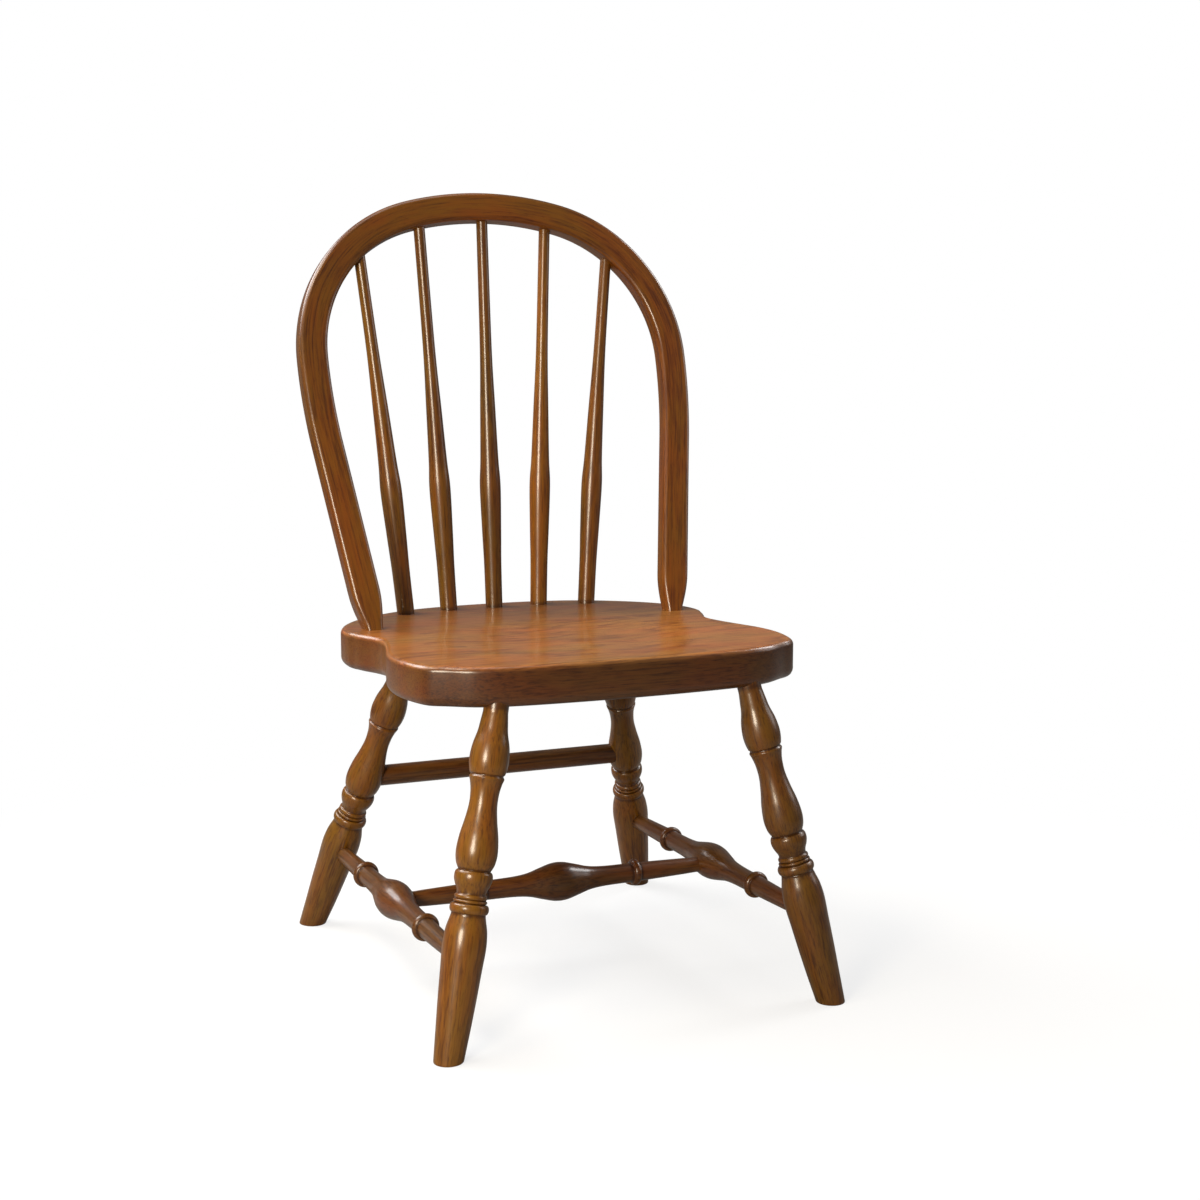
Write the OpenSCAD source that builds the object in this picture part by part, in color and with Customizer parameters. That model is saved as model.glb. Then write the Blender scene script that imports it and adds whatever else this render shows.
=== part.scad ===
// Child's bow-back Windsor chair: plank seat, bent bow, five turned spindles,
// four turned legs and an H of turned stretchers with a plain dowel behind.
// Millimetres. The floor is z = 0 and the sitter faces -Y. The middle of the chair,
// x = 0 and y = 0, lies midway between its feet.

/* [Seat] */
// Height of the seat's top face above the floor
seat_top = 300; // [298:1:325]
// Thickness of the seat plank
seat_t = 33; // [30:1:34]
// Width over the two ears beside the bow
ear_w = 343; // [338:1:350]
// Width at the waist in front of the ears
waist_w = 312; // [308:1:320]
// Place of the waist behind the middle of the chair
waist_y = 6; // [3:1:9]
// Greatest width of the front half
front_w = 350; // [344:1:358]
// From the middle of the chair to the seat's back edge
seat_back = 175; // [172:1:182]
// From the middle of the chair to the seat's front edge
seat_front = 169; // [167:0.5:178]
// Rounding of the top edge
top_round = 5; // [3:0.5:6]
// Rounding of the bottom edge
bottom_round = 8; // [6:0.5:10]
// Depth of the saddle's two hollows
dish = 3; // [1:0.5:4]
// How far the saddle's middle ridge stands in the hollows
pommel = 1.5; // [0:0.5:2]

/* [Bow] */
// Backward rake of the bow's plane
bow_rake = 16.7; // [14:0.1:19]
// From the seat's back edge ahead to the bow's feet
bow_foot_ahead = 111; // [105:1:115]
// Height of the crown's centre line above the seat, along the rake
bow_h = 386.5; // [372:0.5:396]
// Radius of the crown
crown_r = 288.5; // [280:0.5:300]
// Half of the crown's arc
crown_half = 14.5; // [13:0.1:15.5]
// Radius of the two shoulders
shoulder_r = 137.5; // [134:0.5:141]
// Radius of the two slightly curved sides
side_r = 542; // [500:1:600]
// Inward lean of the straight lower stretches
bow_lean = 8.4; // [8:0.1:9]
// Width of the bow across its front face
bow_w = 26; // [23:0.5:27]
// Thickness of the bow from front to back
bow_t = 18; // [16:0.5:20]
// Rounding of the bow's four long edges
bow_round = 3; // [2:0.5:4]
// Length of the tapered foot above the seat
bow_taper = 34; // [26:1:40]
// Width of the foot where it meets the seat
bow_foot_w = 15.5; // [14:0.5:18]
// Thickness of the foot where it meets the seat
bow_foot_t = 17; // [15:0.5:18]

/* [Spindles] */
// Distance between the spindles at the seat
spindle_step = 45.3; // [43:0.1:47]
// From the seat's back edge ahead to the row
spindle_ahead = 26; // [23:1:29]
// How far forward of the row the outer spindle stands
spindle_curve = 9.5; // [6:0.5:11]
// The inner spindles at the bow, to the side of the middle
inner_head_x = 62.6; // [58:0.2:64]
// The outer spindles at the bow, to the side of the middle
outer_head_x = 123; // [116:0.5:126]
// Diameter at the seat
spindle_d = 15.8; // [14:0.1:16.5]
// Greatest diameter of the swell
spindle_swell = 19.6; // [18:0.1:22]
// Diameter at the bow
spindle_tip = 10.4; // [9:0.1:11]
// Height of the swell above the seat
swell_h = 117; // [105:1:130]

/* [Legs] */
// From the seat's widest side in to a front leg's neck
front_leg_in = 63; // [59:1:67]
// From the seat's front edge back to a front leg's neck
front_leg_back = 17.5; // [15:0.5:22]
// From the ear's side in to a rear leg's neck
rear_leg_in = 69; // [65.5:0.5:73.5]
// From the seat's back edge ahead to a rear leg's neck
rear_leg_ahead = 77; // [71:1:81]
// Sideways splay of a front leg between the seat and the floor
front_splay_x = 58; // [52:1:64]
// Forward splay of a front leg
front_splay_y = 43; // [37:0.5:48.5]
// Sideways splay of a rear leg
rear_splay_x = 67.5; // [61.5:0.5:73.5]
// Backward splay of a rear leg
rear_splay_y = 96.5; // [90:0.5:102]
// Diameter of the neck that enters the seat
leg_neck = 20; // [19:0.5:21]
// Diameter at the floor
leg_foot = 23.8; // [22:0.1:26]
// Greatest diameter of the long foot
leg_calf = 34.6; // [32:0.1:36]
// Diameter of the vase turnings
leg_vase = 33; // [31:0.5:34]
// Diameter of the big bead
leg_bead = 31; // [29:0.5:32]
// Depth of the sockets in the seat
leg_socket = 22; // [18:1:24]

/* [Stretchers] */
// Height of the side stretchers' centre line
side_z = 76; // [70:1:82]
// Greatest diameter of a side stretcher
side_swell = 32.2; // [28:0.2:33]
// Greatest diameter of the centre stretcher
centre_swell = 34.4; // [30:0.2:36]
// How far the centre stretcher's axis lies under the side stretchers' axes
centre_drop = 1.6; // [0:0.2:3]
// Diameter of the turned rings
ring_d = 23.6; // [21:0.2:25]
// Diameter of the plain stretches beside a ring
shank_d = 17; // [15:0.5:18]
// Diameter of a turned stretcher at its shoulder
stretcher_end = 13.6; // [12:0.2:15]
// From the middle of a side stretcher to each ring
side_ring = 84.5; // [78:0.5:90]
// From the middle of the centre stretcher to each ring
centre_ring = 74; // [68:0.5:80]
// Height of the rear dowel's centre line
rear_z = 150; // [146:1:158]
// Diameter of the rear dowel
rear_d = 19; // [16:0.5:20]

/* [Joints] */
// Radial clearance of a glued tenon in its socket
glue_gap = 0.05; // [0.02:0.01:0.1]
// Air left past the end of a tenon
end_gap = 0.4; // [0.2:0.1:0.8]
// Depth of the tenons in the legs and the side stretchers
tenon_in = 19; // [16:1:21]
// How far the centre stretcher's tenon passes the side stretcher's axis
centre_tenon = 3.5; // [2:0.5:5]
// Diameter of the rear dowel's tenons
rear_tenon_d = 12; // [10:0.5:13]
// From the fullest part of the piece that holds it to the end of a stretcher's taper
shoulder_gap = 2.5; // [2:0.5:4]
// How far the rear dowel's full thickness is housed in the leg
rear_housing = 3.5; // [2:0.5:5]
// Depth of the spindle sockets in the seat
spindle_socket = 20; // [16:1:24]
// Depth of the spindle sockets in the bow
tip_socket = 13; // [11:0.5:15]
// Diameter of the tenons on the bow's feet
bow_tenon_d = 12; // [10:0.5:12.5]
// Depth of the bow's sockets in the seat
bow_socket = 22; // [18:1:24]

/* [Hidden] */
$fn = 64;

seat_bottom = seat_top - seat_t;
bow_foot_y = seat_back - bow_foot_ahead;
spindle_y = seat_back - spindle_ahead;
front_top = [front_w / 2 - front_leg_in, seat_front - front_leg_back];
rear_top = [ear_w / 2 - rear_leg_in, seat_back - rear_leg_ahead];
light_wood = [0.56, 0.31, 0.14];
dark_wood = [0.42, 0.23, 0.10];

// Curves shared by the pieces

// One point of a smooth curve between b and c, with a and d as the neighbours
function blend(a, b, c, d, t) =
    0.5 * (2 * b + (c - a) * t + (2 * a - 5 * b + 4 * c - d) * t * t
           + (3 * b - a - 3 * c + d) * t * t * t);

// Smooth open curve through the knots, n points to a span
function curve(p, n = 6) =
    [for (i = [0 : len(p) - 2], k = [0 : n - 1])
        blend(p[max(i - 1, 0)], p[i], p[i + 1], p[min(i + 2, len(p) - 1)], k / n),
     p[len(p) - 1]];

// Half-round bead on a turned piece from z0 to z1, out to radius r, seated on radius base
function bead(z0, z1, r, base, n = 8) =
    [for (k = [0 : n]) let (a = 180 * k / n)
        [base + (r - base) * sin(a), (z0 + z1) / 2 - (z1 - z0) / 2 * cos(a)]];

// Solid of revolution from a profile of [radius, height] points, bottom to top
module turned(profile) {
    rotate_extrude()
        polygon(concat([[0, profile[0][1]]], profile, [[0, profile[len(profile) - 1][1]]]));
}

// Stands its children's z axis on the line from a to b, with their origin at a, and turns
// them about it, so that no seam of a round piece runs down the slope
module along(a, b) {
    v = b - a;
    translate(a)
        rotate([0, acos(v[2] / norm(v)), atan2(v[1], v[0])])
            rotate([0, 0, 40])
                children();
}

// Round socket of diameter d, from a towards b, depth deep past a
module socket(a, b, d, depth, back = 30) {
    along(a, b)
        translate([0, 0, -back])
            cylinder(h = back + depth + end_gap, d = d + 2 * glue_gap);
}

function unit(v) = v / norm(v);

// Seat

// Right half of the plan from the back to the front. The ear stands beside the bow's foot,
// the waist lies at the middle of the chair, and the rest is measured from the front edge.
seat_half = [
    [0, seat_back],
    [42, seat_back - 2],
    [80, seat_back - 10],
    [114, seat_back - 26.5],
    [142, seat_back - 49],
    [ear_w / 2 - 12, bow_foot_y + 40],
    [ear_w / 2 - 2.5, bow_foot_y + 19],
    [ear_w / 2, bow_foot_y + 2],
    [ear_w / 2 - 0.6, bow_foot_y - 9],
    [ear_w / 2 - 3, bow_foot_y - 16.5],
    [waist_w / 2 + 9.5, bow_foot_y - 26],
    [waist_w / 2 + 3, waist_y + 16],
    [waist_w / 2, waist_y],
    [waist_w / 2 + 3, waist_y - 19],
    [front_w / 2 - 9.5, 133 - seat_front],
    [front_w / 2 - 2.5, 109 - seat_front],
    [front_w / 2, 85 - seat_front],
    [front_w / 2 - 2.5, 61 - seat_front],
    [front_w / 2 - 10, 38 - seat_front],
    [front_w / 2 - 25, 26.5 - seat_front],
    [front_w / 2 - 46, 13 - seat_front],
    [front_w / 2 - 76, 5 - seat_front],
    [50, 1 - seat_front],
    [0, -seat_front],
];
seat_fine = 3;
seat_right = curve(seat_half, seat_fine);
seat_n = 2 * (len(seat_right) - 1);

// Whole plan, anticlockwise from the front middle
seat_plan = [for (i = [0 : seat_n - 1])
    let (m = len(seat_right) - 1, k = i <= m ? m - i : i - m, s = i <= m ? 1 : -1)
        [s * seat_right[k][0], seat_right[k][1]]];

// Plan moved inwards by d along its own normals
function inset_plan(d) = [for (i = [0 : seat_n - 1])
    let (t = unit(seat_plan[(i + 1) % seat_n] - seat_plan[(i + seat_n - 1) % seat_n]))
        seat_plan[i] + d * [-t[1], t[0]]];

// Depth of the saddle under the flat top at a point of the plan
saddle_y = (seat_back - seat_front) / 2 - 50;
function saddle(p) =
    let (u = p[0] / (front_w / 2 - 50), v = (p[1] - saddle_y) / 105,
         bowl = max(0, 1 - u * u - v * v),
         ridge = exp(-pow(p[0] / 28, 2)) * max(0, min(1, (saddle_y + 25 - p[1]) / 90)))
    bowl * bowl * (3 - 2 * bowl) * (dish - pommel * ridge);

round_steps = 5;
top_rings = 10;
seat_rings = concat(
    [for (k = [0 : round_steps]) let (a = 90 * k / round_steps)
        [for (p = inset_plan(bottom_round * (1 - sin(a))))
            [p[0], p[1], seat_bottom + bottom_round * (1 - cos(a))]]],
    [for (k = [0 : round_steps]) let (a = 90 * k / round_steps)
        [for (p = inset_plan(top_round * (1 - cos(a))))
            [p[0], p[1], seat_top - top_round * (1 - sin(a))]]],
    [for (k = [1 : top_rings - 1]) let (s = 1 - k / top_rings)
        [for (p = inset_plan(top_round))
            let (q = [p[0] * s, p[1] * s - 20 * (1 - s)])
                [q[0], q[1], seat_top - saddle(q)]]]);

// Closed skin over rings of points, with a flat first end and a last point in the middle
module ring_skin(rings, tip) {
    n = len(rings[0]);
    last = len(rings) - 1;
    points = concat([for (r = rings, p = r) p], [tip]);
    walls = [for (j = [0 : last - 1], i = [0 : n - 1])
        let (a = j * n + i, b = j * n + (i + 1) % n)
            each [[a, a + n, b], [b, a + n, b + n]]];
    cap = [for (i = [0 : n - 1]) [last * n + i, len(points) - 1, last * n + (i + 1) % n]];
    polyhedron(points, concat([[for (i = [0 : n - 1]) i]], walls, cap));
}

module seat() {
    color(light_wood)
        difference() {
            ring_skin(seat_rings, [0, -20, seat_top - saddle([0, -20])]);
            for (side = [-1, 1]) {
                socket(leg_top(side, -1), leg_line(side, -1, 1), leg_neck, leg_socket);
                socket(leg_top(side, 1), leg_line(side, 1, 1), leg_neck, leg_socket);
                socket(bow_foot(side), bow_foot(side) - bow_dir(side), bow_tenon_d, bow_socket);
            }
            for (i = [-2 : 2])
                socket(spindle_foot(i), 2 * spindle_foot(i) - spindle_head(i),
                       spindle_d, spindle_socket);
        }
}

// Bow

// The bow is drawn flat, [x, height], then raked. Its centre line turns through an angle
// measured from the crown: crown, shoulder, side and a straight run down to the seat.
shoulder_c = [(crown_r - shoulder_r) * sin(crown_half),
              bow_h - crown_r + (crown_r - shoulder_r) * cos(crown_half)];
side_c = [shoulder_c[0] + shoulder_r - side_r, shoulder_c[1]];
side_turn = 90 + bow_lean;
side_end = side_c + side_r * [sin(side_turn), cos(side_turn)];
straight_run = side_end[1] / cos(bow_lean);
bow_foot_x = side_end[0] - straight_run * sin(bow_lean);

// Stations on the right half: [x, height, turn]
bow_right = concat(
    [for (k = [0 : 5]) let (a = crown_half * k / 5)
        [crown_r * sin(a), bow_h - crown_r + crown_r * cos(a), a]],
    [for (k = [1 : 20]) let (a = crown_half + (90 - crown_half) * k / 20)
        [shoulder_c[0] + shoulder_r * sin(a), shoulder_c[1] + shoulder_r * cos(a), a]],
    [for (k = [1 : 5]) let (a = 90 + bow_lean * k / 5)
        [side_c[0] + side_r * sin(a), side_c[1] + side_r * cos(a), a]],
    [for (d = [bow_taper, bow_taper * 0.8, bow_taper * 0.55, bow_taper * 0.25, -8])
        [bow_foot_x + d * sin(bow_lean), d * cos(bow_lean), side_turn]]);
bow_stations = concat(
    [for (i = [len(bow_right) - 1 : -1 : 1])
        [-bow_right[i][0], bow_right[i][1], -bow_right[i][2]]],
    bow_right);

// Part of the taper that is left at a height above the seat: 0 at the foot, 1 above it
function taper(h) = let (t = min(1, max(0, h / bow_taper))) sin(90 * t);

// Rounded rectangle, w across the face and t through it
function bow_section(w, t) = [for (c = [0 : 3], k = [0 : 2])
    let (a = 90 * c + 45 * k,
         cx = (c == 0 || c == 3 ? 1 : -1) * (w / 2 - bow_round),
         cy = (c < 2 ? 1 : -1) * (t / 2 - bow_round))
        [cx + bow_round * cos(a), cy + bow_round * sin(a)]];

// Point of the raked bow from its flat place and its depth behind the middle of the section
function raked(x, h, depth = 0) =
    [x, bow_foot_y + h * sin(bow_rake) + depth * cos(bow_rake),
     seat_top + h * cos(bow_rake) - depth * sin(bow_rake)];

function bow_ring(s) =
    let (f = taper(s[1]), w = bow_foot_w + (bow_w - bow_foot_w) * f,
         t = bow_foot_t + (bow_t - bow_foot_t) * f)
    [for (q = bow_section(w, t))
        raked(s[0] + q[0] * sin(s[2]), s[1] + q[0] * cos(s[2]), q[1])];

// Centre line of the bow at a distance x from the middle
function bow_at(x) =
    let (m = abs(x), on_crown = m < crown_r * sin(crown_half),
         a = on_crown ? asin(m / crown_r) : asin((m - shoulder_c[0]) / shoulder_r))
    raked(x, on_crown ? bow_h - crown_r * (1 - cos(a)) : shoulder_c[1] + shoulder_r * cos(a));

function bow_foot(side) = raked(side * bow_foot_x, 0);
function bow_dir(side) =
    unit(raked(side * (bow_foot_x + sin(bow_lean)), cos(bow_lean)) - bow_foot(side));

module bow() {
    rings = [for (s = bow_stations) bow_ring(s)];
    n = len(rings[0]);
    last = len(rings) - 1;
    walls = [for (j = [0 : last - 1], i = [0 : n - 1])
        let (a = j * n + i, b = j * n + (i + 1) % n)
            each [[a, b, a + n], [b, b + n, a + n]]];
    start = [for (i = [n - 1 : -1 : 0]) i];
    end = [for (i = [0 : n - 1]) last * n + i];
    color(dark_wood)
        union() {
            difference() {
                polyhedron([for (r = rings, p = r) p], concat([start, end], walls));
                translate([-250, -50, seat_top - 50])
                    cube([500, 300, 50]);
                for (i = [-2 : 2])
                    socket(spindle_head(i) + tip_socket * spindle_down(i),
                           spindle_head(i), spindle_tip, tip_socket);
            }
            for (side = [-1, 1])
                along(bow_foot(side) - bow_socket * bow_dir(side), bow_foot(side))
                    cylinder(h = bow_socket + 6, d = bow_tenon_d);
        }
}

// Spindles

function spindle_foot(i) =
    [i * spindle_step, spindle_y - spindle_curve * pow(max(0, abs(i) - 1), 2), seat_top];
function spindle_head(i) =
    bow_at(sign(i) * [0, inner_head_x, outer_head_x][abs(i)]);
function spindle_down(i) = unit(spindle_foot(i) - spindle_head(i));

module spindle(i) {
    run = norm(spindle_head(i) - spindle_foot(i));
    r = spindle_d / 2;
    swell = spindle_swell / 2;
    tip = spindle_tip / 2;
    profile = concat(
        [[r, -spindle_socket]],
        curve([[r, 0], [r + 0.25, 40], [r + 1.1, swell_h - 45], [swell, swell_h - 4],
               [swell - 1.3, swell_h + 22], [tip + 1.9, swell_h + 70],
               [tip + 0.4, swell_h + 125], [tip, run - 30]]),
        [[tip, run - 1], [tip - 0.8, run]]);
    color(dark_wood)
        along(spindle_foot(i), spindle_head(i))
            turned(profile);
}

// Legs

// side is -1 on the left and 1 on the right, row is -1 in front and 1 behind
function leg_top(side, row) = row < 0
    ? [side * front_top[0], -front_top[1], seat_bottom]
    : [side * rear_top[0], rear_top[1], seat_bottom];
function leg_base(side, row) = leg_top(side, row) + (row < 0
    ? [side * front_splay_x, -front_splay_y, -seat_bottom]
    : [side * rear_splay_x, rear_splay_y, -seat_bottom]);

// Point of a leg's axis at a share t of the way from the floor to the seat, past it over 1
function leg_at(side, row, t) =
    leg_base(side, row) + t * (leg_top(side, row) - leg_base(side, row));
function leg_line(side, row, t) = leg_at(side, row, 1 + t);
function leg_height(side, row, z) = leg_at(side, row, z / seat_bottom);

// Heights along the leg: foot, bead, ring, cup, lower vase, collar, upper vase, neck
function leg_profile(length) =
    let (v = leg_vase / 2, b = leg_bead / 2, c = leg_calf / 2, f = leg_foot / 2,
         n = leg_neck / 2)
    concat(
        curve([[f - 0.9, -12], [f, 0], [f + 1.7, 25], [c - 2.2, 48], [c - 1, 71],
               [c, 89], [c - 0.8, 101], [c - 2.6, 109], [c - 3.6, 113]]),
        [[c - 3.6, 114.3], [b - 2.2, 114.6]],
        bead(114.6, 122.2, b, b - 2.2),
        [[b - 3.4, 122.5]],
        bead(122.7, 125.3, b - 2, b - 3.4),
        bead(125.6, 129.4, b - 2.6, b - 4),
        curve([[b - 4.1, 130], [b - 3.5, 133], [b - 1.6, 137], [b - 0.4, 141],
               [b - 0.4, 145], [b - 1.4, 147.4]]),
        [[v - 3.9, 148.2]],
        curve([[v - 3.2, 148.9], [v - 0.9, 154.5], [v, 163], [v - 1.2, 175],
               [v - 3.6, 187], [v - 5.3, 199], [v - 5.1, 209], [v - 3.9, 216],
               [v - 2.4, 220.6]]),
        [[v - 3.6, 222.4], [v - 3.6, 222.9]],
        curve([[v - 2.4, 224], [v - 1.2, 229.5], [v - 0.8, 236.5], [v - 1.9, 246],
               [v - 4.4, 256], [n + 1, 264], [n, 272]]),
        [[n, length - 1.5], [n - 1, length]]);

module leg(side, row) {
    base = leg_base(side, row);
    top = leg_top(side, row);
    color(dark_wood)
        difference() {
            along(base, top)
                turned(leg_profile(norm(top - base) + leg_socket));
            translate([base[0] - 50, base[1] - 50, -40])
                cube([100, 100, 40]);
            socket(side_mid(side), side_end_at(side, row), stretcher_end,
                   side_half + tenon_in, 0);
            if (row > 0) {
                socket(rear_mid, rear_end_at(side), rear_d, rear_shoulder, 0);
                socket(rear_mid, rear_end_at(side), rear_tenon_d, rear_half + 10, 0);
            }
        }
}

// Stretchers

// Where a side stretcher's axis meets the axis of a leg
function side_end_at(side, row) = leg_height(side, row, side_z);
function side_mid(side) = (side_end_at(side, -1) + side_end_at(side, 1)) / 2;
function centre_end_at(side) = side_mid(side) - [0, 0, centre_drop];
centre_mid = (centre_end_at(-1) + centre_end_at(1)) / 2;
side_half = norm(side_end_at(1, 1) - side_mid(1)) - 10;

function rear_end_at(side) = leg_height(side, 1, rear_z);
rear_mid = (rear_end_at(-1) + rear_end_at(1)) / 2;
rear_half = norm(rear_end_at(1) - rear_mid);
rear_shoulder = rear_half - leg_vase / 2 + rear_housing;

// Half profile of a turned stretcher from its middle outwards, as [radius, distance]
function stretcher_half(swell, bulge, ring, end, tip) =
    let (s = swell / 2, k = shank_d / 2, e = stretcher_end / 2, g = ring_d / 2)
    concat(
        curve([[s, 0], [s - 0.09 * (s - k), bulge * 0.16], [s - 0.42 * (s - k), bulge * 0.4],
               [k + 0.22 * (s - k), bulge * 0.66], [k + 0.4, bulge],
               [k, ring - 4]]),
        bead(ring - 3.6, ring + 3.6, g, k),
        [[k, ring + 4], [e + 0.25 * (k - e), end - 10], [e, end], [e, tip - 1], [e - 0.8, tip]]);

function both_ways(half) = concat(
    [for (i = [len(half) - 1 : -1 : 1]) [half[i][0], -half[i][1]]],
    half);

module side_stretcher(side) {
    run = norm(side_end_at(side, 1) - side_mid(side));
    color(dark_wood)
        difference() {
            along(side_mid(side), side_end_at(side, 1))
                turned(both_ways(stretcher_half(side_swell, side_ring * 0.62, side_ring,
                                                run - leg_calf / 2 - shoulder_gap,
                                                run + tenon_in - 10)));
            socket(centre_mid, centre_end_at(side), stretcher_end,
                   norm(centre_end_at(side) - centre_mid) + centre_tenon, 0);
        }
}

module centre_stretcher() {
    reach = norm(centre_end_at(1) - centre_mid);
    color(dark_wood)
        along(centre_mid, centre_end_at(1))
            turned(both_ways(stretcher_half(centre_swell, centre_ring * 0.6, centre_ring,
                                            reach - side_swell / 2 - shoulder_gap,
                                            reach + centre_tenon)));
}

module rear_stretcher() {
    r = rear_d / 2;
    t = rear_tenon_d / 2;
    color(dark_wood)
        along(rear_mid, rear_end_at(1))
            turned(both_ways([[r, 0], [r, rear_shoulder - 0.8], [r - 0.8, rear_shoulder],
                              [t, rear_shoulder], [t, rear_half + 9],
                              [t - 0.8, rear_half + 10]]));
}

seat();
bow();
spindle(-2);  // spindle_1
spindle(-1);  // spindle_2
spindle(0);  // spindle_3
spindle(1);  // spindle_4
spindle(2);  // spindle_5
leg(-1, -1);  // leg_front_left
leg(1, -1);  // leg_front_right
leg(-1, 1);  // leg_rear_left
leg(1, 1);  // leg_rear_right
side_stretcher(-1);  // side_stretcher_left
side_stretcher(1);  // side_stretcher_right
centre_stretcher();
rear_stretcher();
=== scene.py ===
"""Child's bow-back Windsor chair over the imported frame: its wood, its lacquer and a studio."""

import math

import bpy
import numpy as np
from bpy.props import FloatProperty, FloatVectorProperty, PointerProperty
from bpy.types import Operator, Panel, PropertyGroup
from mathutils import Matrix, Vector


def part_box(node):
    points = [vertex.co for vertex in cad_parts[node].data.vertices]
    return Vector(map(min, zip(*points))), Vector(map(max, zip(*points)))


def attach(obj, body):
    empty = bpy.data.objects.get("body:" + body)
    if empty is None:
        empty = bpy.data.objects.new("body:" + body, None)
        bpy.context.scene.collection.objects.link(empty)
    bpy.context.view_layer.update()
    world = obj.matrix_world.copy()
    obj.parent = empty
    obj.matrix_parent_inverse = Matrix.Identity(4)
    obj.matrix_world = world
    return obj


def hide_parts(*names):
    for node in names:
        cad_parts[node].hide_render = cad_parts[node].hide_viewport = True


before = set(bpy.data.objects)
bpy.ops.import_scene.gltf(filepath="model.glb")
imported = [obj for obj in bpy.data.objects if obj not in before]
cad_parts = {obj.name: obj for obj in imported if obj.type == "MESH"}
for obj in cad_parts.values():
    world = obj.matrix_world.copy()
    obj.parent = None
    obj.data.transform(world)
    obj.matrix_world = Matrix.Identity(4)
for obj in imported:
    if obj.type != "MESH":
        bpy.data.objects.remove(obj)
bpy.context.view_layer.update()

bl_info = {
    "name": "Windsor Chair",
    "version": (1, 0, 0),
    "blender": (4, 5, 0),
    "location": "3D View > Sidebar > Chair",
    "description": "Plank seat, bent bow, turned spindles, legs and stretchers in stained wood",
    "category": "Add Mesh",
}

BODY = "root"
SEAT_LOW, SEAT_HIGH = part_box("seat")
MM = 0.001

# Depths of the bands of vertices that count as an end, a flat end face and a foot
END_BAND = 0.002
FACE_BAND = 0.0003
FLOOR_BAND = 0.00005

# Radius of an end face's innermost ring, in millimetres
PIN = 0.3

# From the end of a stretcher's taper to the piece that it enters
SHOULDER_GAP = 0.0025


def length(name, description, default):
    """A size in metres, shown with the scene's unit."""
    return FloatProperty(name=name, description=description, default=default, min=0.0,
                         unit="LENGTH", subtype="DISTANCE", precision=4)


def degrees(name, description, default):
    """An angle, kept in radians and shown in degrees."""
    return FloatProperty(name=name, description=description, default=math.radians(default),
                         unit="ROTATION", subtype="ANGLE")


def colour(name, description, default):
    """A linear colour."""
    return FloatVectorProperty(name=name, description=description, default=default, size=3,
                               min=0.0, max=1.0, subtype="COLOR")


def share(name, description, default):
    """A number from 0 to 1."""
    return FloatProperty(name=name, description=description, default=default, min=0.0, max=1.0,
                         subtype="FACTOR")


def watts(name, description, default):
    """A lamp's power."""
    return FloatProperty(name=name, description=description, default=default, min=0.0,
                         unit="POWER")


class SeatShape(PropertyGroup):
    """Plan and edges of the plank seat."""

    ear_width: length("Width over the ears", "Across the two ears beside the bow", 0.343)
    waist_width: length("Width at the waist", "Across the hollows in front of the ears", 0.312)
    front_width: length("Front width", "Greatest width of the front half", 0.350)
    back: length("Back edge", "From the middle of the chair to the back edge", 0.175)
    front: length("Front edge", "From the middle of the chair to the front edge", 0.169)
    top_round: length("Top rounding", "Radius of the top edge", 0.005)
    bottom_round: length("Bottom rounding", "Radius of the bottom edge", 0.008)
    dish: length("Saddle depth", "Depth of the two hollows", 0.003)
    pommel: length("Ridge height", "How far the middle ridge stands in the hollows", 0.0015)


class BowShape(PropertyGroup):
    """Path and section of the bent bow."""

    rake: degrees("Rake", "Backward rake of the bow's plane", 16.7)
    foot_y: length("Feet", "Distance of the feet behind the middle of the chair", 0.064)
    height: length("Height", "Crown's centre line above the seat, along the rake", 0.3865)
    crown_radius: length("Crown radius", "Radius of the crown", 0.2885)
    crown_half: degrees("Half crown", "Half of the crown's arc", 14.5)
    shoulder_radius: length("Shoulder radius", "Radius of the two shoulders", 0.1375)
    side_radius: length("Side radius", "Radius of the two slightly curved sides", 0.542)
    lean: degrees("Lean", "Inward lean of the straight lower stretches", 8.4)
    width: length("Width", "Width across the front face", 0.026)
    thickness: length("Thickness", "Thickness from front to back", 0.018)
    rounding: length("Rounding", "Radius of the four long edges", 0.0045)
    taper: length("Taper", "Length of the tapered foot above the seat", 0.034)
    foot_width: length("Foot width", "Width where the foot meets the seat", 0.0155)
    foot_thickness: length("Foot thickness", "Thickness where the foot meets the seat", 0.017)


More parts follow.
